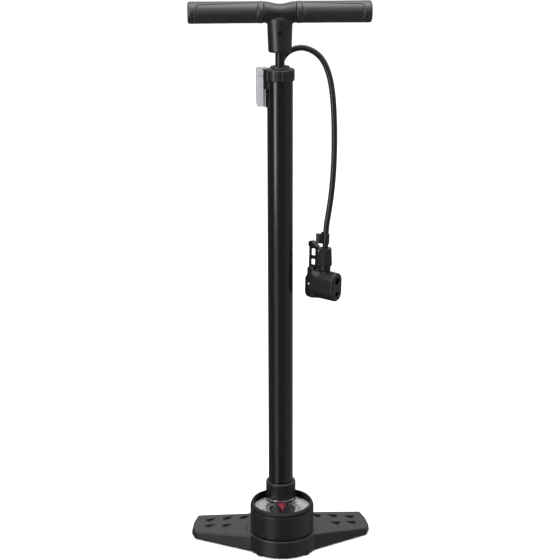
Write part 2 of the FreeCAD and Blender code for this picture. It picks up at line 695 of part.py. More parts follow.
def tube_path(points):
    """Straight runs joined by arcs as large as their runs allow."""
    edges = []
    last = points[0]
    radii = []
    length = 0.0
    for before, corner, after in zip(points, points[1:], points[2:]):
        back = (before - corner).normalize()
        ahead = (after - corner).normalize()
        shorter = min((before - corner).Length, (after - corner).Length)
        half_turn = (math.pi - back.getAngle(ahead)) / 2
        reach = 0.45 * shorter
        radius = reach / math.tan(half_turn)
        enter = corner + back * reach
        leave = corner + ahead * reach
        bisector = (back + ahead).normalize()
        middle = corner + bisector * (radius / math.cos(half_turn) - radius)
        edges.append(Part.LineSegment(last, enter).toShape())
        edges.append(Part.Arc(enter, middle, leave).toShape())
        length += (enter - last).Length + radius * 2 * half_turn
        radii.append(radius)
        last = leave
    edges.append(Part.LineSegment(last, points[-1]).toShape())
    length += (points[-1] - last).Length
    return Part.Wire(edges), radii, length


def make_hose():
    """The hose is one tube, so it is swept here along its route."""
    points = hose_route()
    path, radii, length = tube_path(points)
    radius = size("hose_radius")
    section = Part.Wire(Part.Circle(points[0], Vector(0, 0, 1), radius).toShape())
    tube = path.makePipeShell([section], True, True)
    hose = doc.addObject("Part::Feature", "hose")
    hose.Label = "hose"
    hose.Shape = tube
    NODES.append(hose)
    print("hose arc radii", [round(value, 1) for value in radii])
    print("hose length %.1f, volume over section times length %.4f" %
          (length, tube.Volume / (math.pi * radius ** 2 * length)))


# ------------------------------------------------------------- the pump head

def make_head():
    place = head_frame()
    nut = new_body("head_nut", place)
    grow(nut, outline(nut, "XY", hexagon("9.5"), "-20.5"), "20.5", "-3.6")
    cut(nut, circles(nut, "XY", [("0", "0", "5.05")], "-20.5"), "10.5", forward=True)
    make_head_body(place)
    make_port_cap(place)
    for name, depth, bore in (("large", "large_depth", "3.9"), ("small", "small_depth", "3.05")):
        across = Placement(Vector(0, 0, -size(depth)), Rotation(Vector(0, 1, 0), 90))
        ring = [(bore, "8.6"), ("seal_radius", "8.6"), ("seal_radius", "14"), (bore, "14")]
        turned(name + "_port_seal", ring, place.multiply(across))
    make_pusher(place)
    make_lever(place)
    pin = Placement(Vector(-size("pin_x"), 9.8, -size("pin_depth")), Rotation(Vector(1, 0, 0), 90))
    turned("lever_pin", [("0", "0"), ("pin_radius", "0"), ("pin_radius", "19.6"), ("0", "19.6")],
           place.multiply(pin))
    make_hose_clip(place)


def make_head_body(place):
    body = new_body("head_body", place)
    side = [
        ("-17.8", "-24.2"), ("-18", "-33"), ("-20.6", "-37.5"), ("-20.6", "-54.5"), ("-18.9", "-58.8"),
        ("-14.8", "-head_bottom"), ("head_seam", "-head_bottom"), ("head_seam", "-head_top"), ("-7.5", "-head_top"),
        ("-10.5", "-24.2"),
    ]
    grow(body, outline(body, "XZ", side), "2 * head_half", middle=True)
    soften(body, "4.0", head_low_edge)
    slot = [("-25", "-20"), ("-9.2", "-20"), ("-9.2", "-65"), ("-25", "-65")]
    cut(body, outline(body, "XZ", slot), "13.6", middle=True)
    room = [("-12", "-34"), ("2.4", "-34"), ("2.4", "-29.2"), ("head_seam + 1", "-29.2"),
            ("head_seam + 1", "-59.3"), ("2.4", "-59.3"), ("2.4", "-58"), ("-12", "-58")]
    cut(body, outline(body, "XZ", room), "12.6", middle=True)
    cut(body, circles(body, "XZ", [("-pin_x", "-pin_depth", "pin_radius")]), middle=True)
    grow(body, circles(body, "XY", [("0", "0", "7")], "-head_top"), "head_top - 21")
    grow(body, circles(body, "XY", [("0", "0", "5")], "-21"), "10")
    return body


def head_low_edge(edge):
    """The two long lower edges of the head's sides."""
    here = middle_of(edge)
    return abs(abs(here.y) - size("head_half")) < 0.01 and here.z < 0.1 - size("head_bottom")


def make_port_cap(place):
    body = new_body("port_cap", place)
    high = "-head_top - head_half"
    low = "-head_bottom + head_half"
    sketch = plane_sketch(body, "YZ", "head_seam")
    radius = size("head_half")
    top, bottom = size(high), size(low)
    sketch.addGeometry(Part.ArcOfCircle(Part.Circle(Vector(0, top, 0), Vector(0, 0, 1), radius), 0, math.pi), False)
    sketch.addGeometry(Part.LineSegment(Vector(-radius, top, 0), Vector(-radius, bottom, 0)), False)
    arc = Part.Circle(Vector(0, bottom, 0), Vector(0, 0, 1), radius)
    sketch.addGeometry(Part.ArcOfCircle(arc, math.pi, 2 * math.pi), False)
    sketch.addGeometry(Part.LineSegment(Vector(radius, bottom, 0), Vector(radius, top, 0)), False)
    for first, second in ((0, 1), (1, 2), (2, 3), (3, 0)):
        sketch.addConstraint(Sketcher.Constraint("Tangent", first, 2, second, 1))
    hold_point(sketch, 0, 3, "0", high)
    hold_point(sketch, 2, 3, "0", low)
    held = sketch.addConstraint(Sketcher.Constraint("Radius", 0, radius))
    bind(sketch, "Constraints[%d]" % held, "head_half")
    grow(body, sketch, "head_face - head_seam")
    face = size("head_face")
    soften(body, "2.2", lambda edge: abs(edge.BoundBox.XMin - face) < 0.01 and edge.BoundBox.XLength < 0.01)
    ports = [("0", "-large_depth", "large_port"), ("0", "-small_depth", "small_port")]
    cut(body, circles(body, "YZ", ports, "head_face"), "head_face - head_seam + 1")
    seats = [("0", "-large_depth", "seal_radius + 0.1"), ("0", "-small_depth", "seal_radius + 0.1")]
    cut(body, circles(body, "YZ", seats, "head_seam"), "14.1 - head_seam", forward=True)
    return body


def make_pusher(place):
    """The block that the lever's cam pushes against the two seals."""
    body = new_body("seal_pusher", place)
    block = [("-10.4", "-35.5"), ("3.4", "-35.5"), ("3.4", "-55.5"), ("-10.4", "-55.5")]
    grow(body, outline(body, "XZ", block), "11.6", middle=True)
    faces = [("0", "-large_depth", "5.8"), ("0", "-small_depth", "5.8")]
    grow(body, circles(body, "YZ", faces, "3.0"), "4.4")
    bores = [("0", "-large_depth", "1.5"), ("0", "-small_depth", "1.5")]
    cut(body, circles(body, "YZ", bores, "10"), "12")
    return body


def make_lever(place):
    """The thumb lever: a thin frame with two windows on a wide cam."""
    body = new_body("lever", place)
    frame = [
        ("-19.5", "-42"), ("-22.2", "-28"), ("-22.4", "0"), ("-22.3", "4.4"), ("-21.6", "4.8"), ("-17.4", "5.2"),
        ("-9.3", "-0.6"), ("-9.5", "-2.4"), ("-10.3", "-4.5"), ("-10.9", "-36"), ("-13", "-42"),
    ]
    grow(body, outline(body, "XZ", frame), "2.6", middle=True)
    tab = [("-22.4", "-1"), ("-22.3", "4.4"), ("-21.6", "4.8"), ("-17.4", "5.2"), ("-9.5", "-0.5"), ("-12", "-2.6")]
    grow(body, outline(body, "XZ", tab), "6.4", middle=True)
    web = [("-19.5", "-25.5"), ("-12.2", "-25.5"), ("-12.2", "-36"), ("-13", "-42"), ("-19.5", "-42")]
    grow(body, outline(body, "XZ", web), "11", middle=True)
    cam = circles(body, "XZ", [("-pin_x - 0.53", "-pin_depth - 0.53", "5.25")])
    grow(body, cam, "12.4", middle=True)
    for high, low in (("-3.7", "-12.2"), ("-16.2", "-23.3")):
        window = [("-19.8", high), ("-13.6", high), ("-13.6", low), ("-19.8", low)]
        cut(body, outline(body, "XZ", window), "20", middle=True)
    cut(body, circles(body, "XZ", [("-pin_x", "-pin_depth", "pin_radius + slip")]), "30", middle=True)
    return body


def make_hose_clip(place):
    """A clip on the hose with a jaw for a valve adapter."""
    body = new_body("hose_clip", place)
    grow(body, circles(body, "XY", [("0", "0", "4.5")], "4.8"), "12")
    grow(body, circles(body, "XY", [("-8.6", "0", "5.7")], "4.8"), "12")
    cut(body, circles(body, "XY", [("0", "0", "hose_radius + 0.05")], "18"), "15")
    cut(body, circles(body, "XY", [("-8.6", "0", "4.3")], "18"), "15")
    mouth = [("-16", "-8"), ("-10", "-8"), ("-10", "8"), ("-16", "8")]
    cut(body, outline(body, "XY", mouth, "18"), "15")
    front = [("-1.5", "-1"), ("1.5", "-1"), ("2.6", "-6"), ("-2.2", "-6")]
    cut(body, outline(body, "XY", front, "18"), "15")
    return body


# -------------------------------------------------------- the accessory case

def make_case():
    body = new_body("adapter_case")
    box = [("-case_front", "-case_half"), ("-case_back", "-case_half"), ("-case_back", "case_half"),
           ("-case_front", "case_half")]
    grow(body, outline(body, "XY", box, "case_low"), "case_seam - case_low")
    soften(body, "1.4", lambda edge: middle_of(edge).x < -size("case_front") + 0.01)
    room = [("-case_front + case_wall", "-case_half + case_wall"), ("-case_back - case_wall", "-case_half + case_wall"),
            ("-case_back - case_wall", "case_half - case_wall"), ("-case_front + case_wall", "case_half - case_wall")]
    cut(body, outline(body, "XY", room, "case_seam"), "case_seam - case_low - case_wall")
    neck = [("-case_back - 0.3", "-4"), ("-16.9", "-4"), ("-16.9", "4"), ("-case_back - 0.3", "4")]
    grow(body, outline(body, "XY", neck, "526.5"), "case_seam - 526.5")
    rail = [("-17.85", "-6.1"), ("-16.05", "-6.1"), ("-16.05", "6.1"), ("-17.85", "6.1")]
    grow(body, outline(body, "XY", rail, "526.5"), "cap_shoulder - 526.3")
    stop = [("-18.9", "-7.4"), ("-15.3", "-7.4"), ("-15.3", "7.4"), ("-18.9", "7.4")]
    grow(body, outline(body, "XY", stop, "cap_shoulder + 0.2"), "1.1")
    lid = new_body("adapter_case_lid")
    grow(lid, outline(lid, "XY", box, "case_seam + 0.15"), "case_top - case_seam - 0.15")
    soften(lid, "1.4", lambda edge: middle_of(edge).x < -size("case_front") + 0.01 or
           middle_of(edge).z > size("case_top") - 0.01)
    cut(lid, outline(lid, "XY", room, "case_seam + 0.15"), "case_top - case_seam - 0.15 - case_wall", forward=True)
    make_adapters()


def make_adapters():
    """What the case holds: a ball needle and a tapered nozzle."""
    floor = size("case_low + case_wall") + 0.05
    needle = [("0", "0"), ("2.4", "0"), ("2.4", "7"), ("1.7", "8"), ("1.7", "11"), ("0.85", "12"), ("0.85", "29"),
              ("0.4", "30.5"), ("0", "30.5")]
    turned("ball_needle", needle, Placement(Vector(-22.8, -5.2, floor), Rotation()))
    nozzle = [("0.8", "0"), ("2.5", "0"), ("2.5", "6"), ("2.1", "6.4"), ("1.2", "24"), ("0.8", "24")]
    turned("taper_nozzle", nozzle, Placement(Vector(-22.8, 4.6, floor), Rotation()))


# ----------------------------------------------------------------- the build

def check_document():
    """Stops if any object failed or any sub-part has a bad shape."""
    doc.recompute()
    for item in doc.Objects:
        if "Invalid" in item.State or "Error" in item.State:
            raise RuntimeError("%s failed: %s" % (item.Name, item.State))
    for node in NODES:
        if node.Shape.isNull() or not node.Shape.isValid() or node.Shape.Volume <= 0:
            raise RuntimeError("%s has a bad shape" % node.Label)


def write_parts():
    os.makedirs("parts", exist_ok=True)
    for node in NODES:
        node.Shape.exportStep("parts/%s.step" % node.Label)
    print("%d sub-parts written" % len(NODES))


make_base()
make_foot_pads()
make_base_screws()
make_housing()
make_gauge()
make_barrel()
make_cap()
make_piston()
make_handle()
make_outlet()
make_hose()
make_head()
make_case()
check_document()
write_parts()
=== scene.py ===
# The looks of a floor bike pump. Places are in metres, or in millimetres where MM scales them.
import json
import math
import bmesh
import bpy
from mathutils import Matrix, Vector


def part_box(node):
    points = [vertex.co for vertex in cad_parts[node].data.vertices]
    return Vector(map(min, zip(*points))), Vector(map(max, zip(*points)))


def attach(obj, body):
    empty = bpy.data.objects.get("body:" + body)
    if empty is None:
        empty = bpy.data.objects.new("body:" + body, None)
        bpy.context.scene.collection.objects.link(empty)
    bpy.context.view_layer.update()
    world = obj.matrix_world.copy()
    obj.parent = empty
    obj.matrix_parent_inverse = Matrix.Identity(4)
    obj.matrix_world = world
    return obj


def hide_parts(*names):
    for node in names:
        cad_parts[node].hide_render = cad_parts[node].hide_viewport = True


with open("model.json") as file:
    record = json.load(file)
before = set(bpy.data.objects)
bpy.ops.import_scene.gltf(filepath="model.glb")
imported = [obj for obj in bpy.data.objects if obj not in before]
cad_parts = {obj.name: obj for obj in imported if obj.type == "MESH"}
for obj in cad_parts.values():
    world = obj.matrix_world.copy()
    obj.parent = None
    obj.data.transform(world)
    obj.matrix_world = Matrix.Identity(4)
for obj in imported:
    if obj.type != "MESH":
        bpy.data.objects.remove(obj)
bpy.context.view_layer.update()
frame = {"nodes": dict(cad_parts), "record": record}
NODES = frame["nodes"]
BODY_OF = {node: body for body, nodes in frame["record"]["behaviour"]["bodies"].items() for node in nodes}
SLOT_OF = {item["node"]: item["material_slot"] for item in frame["record"]["subparts"]}
MM = 0.001


# ------------------------------------------------------------------ camera

CAMERA_REACH = 1.754
CAMERA_HEIGHT = 0.826
CAMERA_SWING = math.radians(3)
CAMERA_PITCH = math.radians(74)
CAMERA_ROLL = math.radians(-0.12)


def make_camera():
    """A long lens in front of the pump, a little left of it and looking 16 degrees down."""
    data = bpy.data.cameras.new("camera")
    data.lens = 100.9
    data.sensor_width = 36
    camera = bpy.data.objects.new("camera", data)
    bpy.context.scene.collection.objects.link(camera)
    camera.location = (-CAMERA_REACH * math.sin(CAMERA_SWING), -CAMERA_REACH * math.cos(CAMERA_SWING), CAMERA_HEIGHT)
    look = Matrix.Rotation(-CAMERA_SWING, 3, "Z") @ Matrix.Rotation(CAMERA_PITCH, 3, "X")
    camera.rotation_euler = (look @ Matrix.Rotation(CAMERA_ROLL, 3, "Z")).to_euler()
    data.shift_x = -0.0007
    bpy.context.scene.camera = camera


make_camera()


# ---------------------------------------------------------------- the hose

HOSE_RADIUS = 0.00335


def head_matrix():
    """The pump head's own frame: +X through the ports, +Z up the hose."""
    turn = Matrix.Rotation(math.radians(-3.0), 4, "Z") @ Matrix.Rotation(math.radians(1.5), 4, "Y")
    return Matrix.Translation((0.0523, 0.0022, 0.3604)) @ turn @ Matrix.Rotation(math.radians(-38.0), 4, "Z")


HEAD = head_matrix()


def hose_points():
    """Up behind the barrel, through the cap's clip, over the top and down to the head."""
    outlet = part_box("hose_outlet")
    start = Vector(((outlet[0].x + outlet[1].x) / 2, (outlet[0].y + outlet[1].y) / 2, outlet[1].z))
    behind = [(0, 24, 85), (-0.6, 24.5, 145), (-1.5, 24.2, 225), (-1.4, 22.9, 310), (-0.5, 21.5, 392),
              (0.7, 20.9, 462), (1.3, 20.6, 512), (1.5, 20.5, 545), (1.5, 20.5, 569.5)]
    over = [(4.3, 20.4, 579), (12, 20.1, 586.9), (24.5, 19.3, 590.6), (36.5, 18.2, 587.6), (47.5, 16.8, 579.4),
            (55, 15.4, 565.5), (59.9, 13.6, 545), (62.4, 11, 513), (62.6, 7.5, 468), (59.9, 4.6, 428),
            (55.7, 3.1, 400)]
    points = [start] + [Vector(p) * MM for p in behind + over]
    return points + [HEAD @ Vector((0, 0, 0.024)), HEAD.translation.copy()]


def make_hose():
    """The whole air hose, as one smooth curve through its route."""
    points = hose_points()
    curve = bpy.data.curves.new("air_hose", "CURVE")
    curve.dimensions = "3D"
    curve.bevel_depth = 1.0
    curve.bevel_resolution = 8
    curve.resolution_u = 16
    curve.use_fill_caps = True
    spline = curve.splines.new("NURBS")
    spline.points.add(len(points) - 1)
    for point, place in zip(spline.points, points):
        point.co = (*place, 1)
        point.radius = HOSE_RADIUS
    spline.order_u = 3
    spline.use_endpoint_u = True
    hose = bpy.data.objects.new("air_hose", curve)
    bpy.context.scene.collection.objects.link(hose)
    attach(hose, "stand")
    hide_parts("hose")
    return hose


HOSE = make_hose()


# --------------------------------------------------------------- materials

def noise(nodes, links, scale, detail, roughness):
    """A noise that stays fixed to the piece."""
    where = nodes.new("ShaderNodeTexCoord")
    made = nodes.new("ShaderNodeTexNoise")
    made.inputs["Scale"].default_value = scale
    made.inputs["Detail"].default_value = detail
    made.inputs["Roughness"].default_value = roughness
    links.new(where.outputs["Object"], made.inputs["Vector"])
    return made.outputs["Fac"]


def ramp(nodes, links, value, low, high, start=0.0, end=1.0, shape="LINEAR"):
    """Maps a value from low..high to start..end."""
    made = nodes.new("ShaderNodeMapRange")
    made.interpolation_type = shape
    made.inputs["From Min"].default_value = low
    made.inputs["From Max"].default_value = high
    made.inputs["To Min"].default_value = start
    made.inputs["To Max"].default_value = end
    links.new(value, made.inputs["Value"])
    return made.outputs["Result"]


def colour_between(nodes, links, share, first, second, target):
    """Links a blend of two colours to a colour socket."""
    mix = nodes.new("ShaderNodeMix")
    mix.data_type = "RGBA"
    mix.inputs[6].default_value = (*first, 1)
    mix.inputs[7].default_value = (*second, 1)
    links.new(share, mix.inputs[0])
    links.new(mix.outputs[2], target)


def material(name, colour, roughness, grain, metallic=0.0, rough_vary=0.05, tint=None, specular=0.5):
    """A surface with fine grain as bump, and slow changes of colour and roughness."""
    made = bpy.data.materials.new(name)
    made.use_nodes = True
    nodes, links = made.node_tree.nodes, made.node_tree.links
    skin = nodes["Principled BSDF"]
    skin.inputs["Metallic"].default_value = metallic
    skin.inputs["Specular IOR Level"].default_value = specular
    slow = noise(nodes, links, 90.0, 6.0, 0.6)
    tint = tint or [part * 1.5 + 0.002 for part in colour]
    colour_between(nodes, links, slow, colour, tint, skin.inputs["Base Color"])
    smoothest, roughest = max(0.02, roughness - rough_vary), min(1.0, roughness + rough_vary)
    links.new(ramp(nodes, links, slow, 0.3, 0.7, smoothest, roughest), skin.inputs["Roughness"])
    scale, strength, depth = grain
    bump = nodes.new("ShaderNodeBump")
    bump.inputs["Strength"].default_value = strength
    bump.inputs["Distance"].default_value = depth
    links.new(noise(nodes, links, scale, 3.0, 0.55), bump.inputs["Height"])
    links.new(bump.outputs["Normal"], skin.inputs["Normal"])
    return made


def clear_material(name, colour, roughness, transmission, grain):
    """A see-through plastic."""
    made = material(name, colour, roughness, grain, rough_vary=0.02)
    skin = made.node_tree.nodes["Principled BSDF"]
    skin.inputs["Transmission Weight"].default_value = transmission
    skin.inputs["IOR"].default_value = 1.49
    return made


PAINT = material("barrel_paint", (0.0026, 0.0025, 0.0024), 0.15, (700, 0.03, 0.0002), rough_vary=0.03)
ROD = material("rod_black", (0.012, 0.012, 0.013), 0.22, (2500, 0.05, 0.0001), metallic=0.6)
BASE = material("base_plastic", (0.0034, 0.0034, 0.0034), 0.32, (2600, 0.25, 0.0002), rough_vary=0.07)
TRIM = material("gloss_trim", (0.0018, 0.0018, 0.0019), 0.22, (1500, 0.05, 0.0001))
SATIN = material("satin_plastic", (0.0028, 0.0028, 0.0029), 0.38, (3000, 0.22, 0.0002))
HANDLE = material("handle_plastic", (0.0026, 0.0028, 0.0031), 0.34, (3200, 0.22, 0.0002), specular=0.58)
GRIP = material("grip_rubber", (0.0048, 0.0055, 0.0068), 0.36, (4200, 0.4, 0.0002), specular=0.72)
RUBBER = material("soft_rubber", (0.006, 0.006, 0.006), 0.6, (3500, 0.4, 0.0002))
HOSE_RUBBER = material("hose_rubber", (0.0030, 0.0030, 0.0031), 0.32, (2200, 0.2, 0.0002))
STEEL = material("steel", (0.5, 0.5, 0.5), 0.3, (3000, 0.1, 0.0001), metallic=1.0, tint=(0.6, 0.6, 0.62))
DARK = material("dark_metal", (0.014, 0.014, 0.015), 0.4, (3000, 0.1, 0.0001), metallic=0.8)
BRASS = material("brass", (0.62, 0.45, 0.18), 0.3, (2500, 0.1, 0.0001), metallic=1.0, tint=(0.7, 0.52, 0.24))
DIAL = material("dial_face", (0.004, 0.004, 0.0042), 0.45, (5000, 0.1, 0.0001))
PRINT = material("dial_print", (0.55, 0.55, 0.55), 0.5, (5000, 0.1, 0.0001), tint=(0.62, 0.62, 0.62))
RED = material("needle_red", (0.30, 0.003, 0.025), 0.3, (5000, 0.1, 0.0001), tint=(0.42, 0.006, 0.05))
PIN = material("pin_steel", (0.62, 0.62, 0.62), 0.55, (3000, 0.1, 0.0001), metallic=0.35, tint=(0.7, 0.7, 0.7))
BEZEL = material("bezel_plastic", (0.0014, 0.0014, 0.0014), 0.5, (2600, 0.2, 0.0002), specular=0.22)
LENS = clear_material("clear_lens", (0.97, 0.97, 0.97), 0.04, 1.0, (1200, 0.02, 0.0001))
CASE = clear_material("case_frosted", (0.34, 0.34, 0.35), 0.42, 0.3, (1400, 0.4, 0.0004))


def stipple(look, hub, inner, outer):
    """Pale printed dots over the outer part of the dial, thinning out towards the pointer's pivot."""
    nodes, links = look.node_tree.nodes, look.node_tree.links
    where = nodes.new("ShaderNodeTexCoord")
    offset = nodes.new("ShaderNodeVectorMath")
    offset.operation = "DISTANCE"
    offset.inputs[1].default_value = hub
    links.new(where.outputs["Object"], offset.inputs[0])
    less = nodes.new("ShaderNodeMath")
    less.operation = "SUBTRACT"
    links.new(noise(nodes, links, 760.0, 3.0, 0.7), less.inputs[0])
    links.new(ramp(nodes, links, offset.outputs["Value"], inner, outer, 0.20, -0.02), less.inputs[1])
    dots = ramp(nodes, links, less.outputs["Value"], 0.47, 0.56)
    dark, pale = (0.004, 0.004, 0.0042), (0.75, 0.75, 0.78)
    colour_between(nodes, links, dots, dark, pale, nodes["Principled BSDF"].inputs["Base Color"])


stipple(DIAL, (0, -0.0315, 0.0468), 0.015, 0.024)

LOOKS = {
    "barrel_paint": PAINT, "rod_black": ROD, "base_plastic": BASE, "gloss_trim": TRIM, "satin_plastic": SATIN,
    "handle_plastic": HANDLE, "grip_rubber": GRIP, "soft_rubber": RUBBER, "hose_rubber": HOSE_RUBBER,
    "steel": STEEL, "dark_metal": DARK, "brass": BRASS, "dial_face": DIAL, "clear_lens": LENS,
    "needle_red": RED, "case_clear": CASE,
}


def dress(thing, look):
    """Gives a piece one look all over."""
    thing.data.materials.clear()
    thing.data.materials.append(look)


for node, thing in NODES.items():
    dress(thing, LOOKS[SLOT_OF[node]])
dress(HOSE, HOSE_RUBBER)
dress(NODES["handle_screw"], DARK)
dress(NODES["lever_pin"], PIN)


# ------------------------------------------------------------ mesh helpers

def add_piece(name, mesh, node, look, stands_for=()):
    """Adds a piece that moves with a CAD node's body, and stands for nodes if any are given."""
    thing = bpy.data.objects.new(name, mesh)
    bpy.context.scene.collection.objects.link(thing)
    dress(thing, look)
    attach(thing, BODY_OF[node])
    if stands_for:
        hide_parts(*stands_for)
    return thing


def copy_of(node, mesh):
    """A piece that stands for one CAD node, in that node's own look."""
    return add_piece(node + "_piece", mesh, node, LOOKS[SLOT_OF[node]], [node])


def settle(thing):
    """Applies the piece's modifiers to its mesh."""
    bpy.context.view_layer.update()
    evaluated = thing.evaluated_get(bpy.context.evaluated_depsgraph_get())
    made = bpy.data.meshes.new_from_object(evaluated)
    thing.modifiers.clear()
    old = thing.data
    thing.data = made
    bpy.data.meshes.remove(old)


def smooth(thing, angle):
    """Shades a piece smoothly, except at edges sharper than the angle."""
    thing.data.polygons.foreach_set("use_smooth", [True] * len(thing.data.polygons))
    thing.data.set_sharp_from_angle(angle=math.radians(angle))


def edit_mesh(mesh, change):
    """Runs one change on a mesh's points, edges and faces."""
    shape = bmesh.new()
    shape.from_mesh(mesh)
    change(shape)
    shape.to_mesh(mesh)
    shape.free()


def turn_outwards(shape):
    bmesh.ops.recalc_face_normals(shape, faces=shape.faces)


def merge_flats(shape):
    bmesh.ops.remove_doubles(shape, verts=shape.verts, dist=0.00001)
    bmesh.ops.dissolve_limit(shape, angle_limit=math.radians(1.0), verts=shape.verts, edges=shape.edges)


def polished(node, width):
    """A copy of a CAD node with its hard edges rounded, as moulded edges are."""
    mesh = NODES[node].data.copy()
    edit_mesh(mesh, merge_flats)
    thing = copy_of(node, mesh)
    bevel = thing.modifiers.new("edges", "BEVEL")
    bevel.width = width
    bevel.segments = 2
    bevel.limit_method = "ANGLE"
    bevel.angle_limit = math.radians(32)
    settle(thing)
    smooth(thing, 50)
    return thing


def melt(thing, voxel, rounds):
    """Rounds a piece's edges and blends its joins, as a moulding's are."""
    grid = thing.modifiers.new("grid", "REMESH")
    grid.mode = "VOXEL"
    grid.voxel_size = voxel * MM
    soft = thing.modifiers.new("soft", "SMOOTH")
    soft.factor = 0.5
    soft.iterations = rounds
    settle(thing)


def fused(node, voxel, rounds, rule=None):
    """A melted copy of a CAD node, with its points moved by the rule if there is one."""
    thing = copy_of(node, NODES[node].data.copy())
    melt(thing, voxel, rounds)
    smooth(thing, 60)
    if rule:
        reshape(thing, rule)
        smooth(thing, 60)
    return thing


def blend_zone(thing, weigh, rounds):
    """Smooths a piece further where the rule gives a weight, so that two shapes flow together."""
    group = thing.vertex_groups.new(name="zone")
    for vertex in thing.data.vertices:
        weight = weigh(vertex.co / MM)
        if weight > 0:
            group.add([vertex.index], weight, "REPLACE")
    soft = thing.modifiers.new("flow", "SMOOTH")
    soft.factor = 0.5
    soft.iterations = rounds
    soft.vertex_group = "zone"
    settle(thing)
    thing.vertex_groups.clear()


def reshape(thing, move):
    """Moves each point of a piece, in millimetres, by a rule."""
    for vertex in thing.data.vertices:
        vertex.co = move(vertex.co / MM) * MM
    thing.data.update()


def ring_mesh(name, rows, closed=False):
    """A mesh through rings of points that all have the same number of points, with flat ends if closed."""
    count = len(rows[0])
    faces = []
    for row in range(len(rows) - 1):
        for step in range(count):
            after = (step + 1) % count
            faces.append((row * count + step, row * count + after, (row + 1) * count + after,
                          (row + 1) * count + step))
    if closed:
        faces.append(tuple(range(count))[::-1])
        faces.append(tuple((len(rows) - 1) * count + step for step in range(count)))
    mesh = bpy.data.meshes.new(name)
    mesh.from_pydata([point * MM for row in rows for point in row], [], faces)
    edit_mesh(mesh, turn_outwards)
    return mesh


for node, thing in NODES.items():
    smooth(thing, 35)


# ------------------------------------------------------------- the handle

GRIP_Z = 632.0
STEM_FOOT = 588


def saddle_zone(point):
    """Where the stem runs into the bar."""
    if abs(point.x) > 17.0 or point.z < 612:
        return 0.0
    rise = min(1.0, (point.z - 612) / 6)
    return rise * min(1.0, (17.0 - abs(point.x)) / 3)


def bar_rows():
    """The middle of the bar: dished on top, full at the front and underneath."""
    rows = []
    for index in range(73):
        across = -17.95 + index * 35.9 / 72
        dish = 0.5 + 0.5 * math.cos(math.pi * min(1.0, abs(across) / 17.2))
        high = 11.9 - 2.7 * dish
        deep = 11.7 - 0.5 * dish
        row = []
        for step in range(96):
            around = step * math.tau / 96
            up = math.sin(around)
            row.append(Vector((across, -deep * math.cos(around), GRIP_Z + up * (high if up > 0 else 11.9))))
        rows.append(row)
    return rows


def stem_rows():
    """The stem, a little shallower than it is wide, with a rounded lower edge."""
    profile = [(587.8, 11.9), (588.2, 12.6), (589.0, 13.0), (590.2, 13.15), (604, 13.65), (616, 14.1), (622, 14.3),
               (626, 13.6), (629, 11.0), (630, 8.0)]
    rows = []
    for up, radius in profile:
        deep = radius * (1.0 - 0.15 * min(1.0, max(0.0, (up - STEM_FOOT) / 24)))
        turns = [step * math.tau / 96 for step in range(96)]
        rows.append([Vector((radius * math.sin(turn), -deep * math.cos(turn), up)) for turn in turns])
    return rows


def core_rule(point):
    """The recess for the cross screw."""
    if point.y > 0 or math.hypot(point.x, point.z - 610) > 2.35:
        return point
    return Vector((point.x, -9.5, point.z))


def make_core():
    """The bar's middle and the stem, melted together."""
    mesh = ring_mesh("handle_core_piece", bar_rows(), closed=True)
    stem = ring_mesh("stem", stem_rows(), closed=True)
    edit_mesh(mesh, lambda shape: shape.from_mesh(stem))
    core = copy_of("handle_core", mesh)
    melt(core, 0.5, 6)
    blend_zone(core, saddle_zone, 70)
    reshape(core, core_rule)
    smooth(core, 50)


def panel_distance(across, around, radius):
    """How far a point on a grip is outside its inlaid panel, negative inside."""
    inner = 25.6 - 0.22 * radius * math.sin(around)
    half = math.radians(56 - 17 * (across - 25) / 69)
    corner = 3.2
    along = max(inner - across, across - 92.6) + corner
    sideways = (abs(around) - half) * radius + corner
    outside = math.hypot(max(along, 0.0), max(sideways, 0.0))
    return outside + min(max(along, sideways), 0.0) - corner


def groove(distance, width, depth):
    return depth * math.exp(-(distance / width) ** 2)


def grip_radius(across, around):
    """A sleeve that swells outwards, with a cuff, two seams and grooved panels."""
    radius = 12.08 + 0.12 * max(0.0, (across - 60) / 35)
    front = math.remainder(around, math.tau)
    back = math.remainder(around - math.pi, math.tau)
    near = min(panel_distance(across, front, radius), panel_distance(across, back, radius))
    radius -= groove(near, 0.5, 0.75)
    if near < -0.5:
        radius += 0.12
    if across < 24.6:
        radius += 0.2
    radius -= groove(across - 18.2, 0.5, 0.6) + groove(across - 24.6, 0.4, 0.25) + groove(across - 94.2, 0.35, 0.25)
    return radius


SLEEVE_START = 18.25
SLEEVE_END = 94.45
SLEEVE_BORE = 8.1
SLEEVE_STEPS = 208


def sleeve_ring(side, across, radius_at):
    """One ring of a sleeve, with a radius for each turn round it."""
    turns = [step * math.tau / SLEEVE_STEPS for step in range(SLEEVE_STEPS)]
    return [Vector((side * across, -radius_at(turn) * math.cos(turn), GRIP_Z + radius_at(turn) * math.sin(turn)))
            for turn in turns]


def make_grip_piece(side, name):
    """A soft sleeve with an inlaid panel front and back."""
    lengths = [SLEEVE_START + index * 0.35 for index in range(218)] + [SLEEVE_END]
    rows = [sleeve_ring(side, SLEEVE_START, lambda turn: SLEEVE_BORE)]
    for across in lengths:
        rows.append(sleeve_ring(side, across, lambda turn: grip_radius(across, turn - math.radians(10))))
    rows.append(sleeve_ring(side, SLEEVE_END, lambda turn: SLEEVE_BORE))
    rows.append(rows[0])
    grip = copy_of(name + "_grip", ring_mesh(name + "_grip_piece", rows))
    smooth(grip, 50)


make_core()
for side, name in ((-1, "left"), (1, "right")):
    make_grip_piece(side, name)
    dress(polished(name + "_grip_cap", 0.0002), GRIP)


# ------------------------------------------------------------- the base

TREAD_SPOTS = [(85, 22.5), (64, 18.8), (43.6, 12.8), (85.8, 6.2), (65.5, -1.3)]


def wing_top(across):
    """The height of a wing's top, which slopes down outwards."""
    return 20.5 - (across - 38) * 0.1646


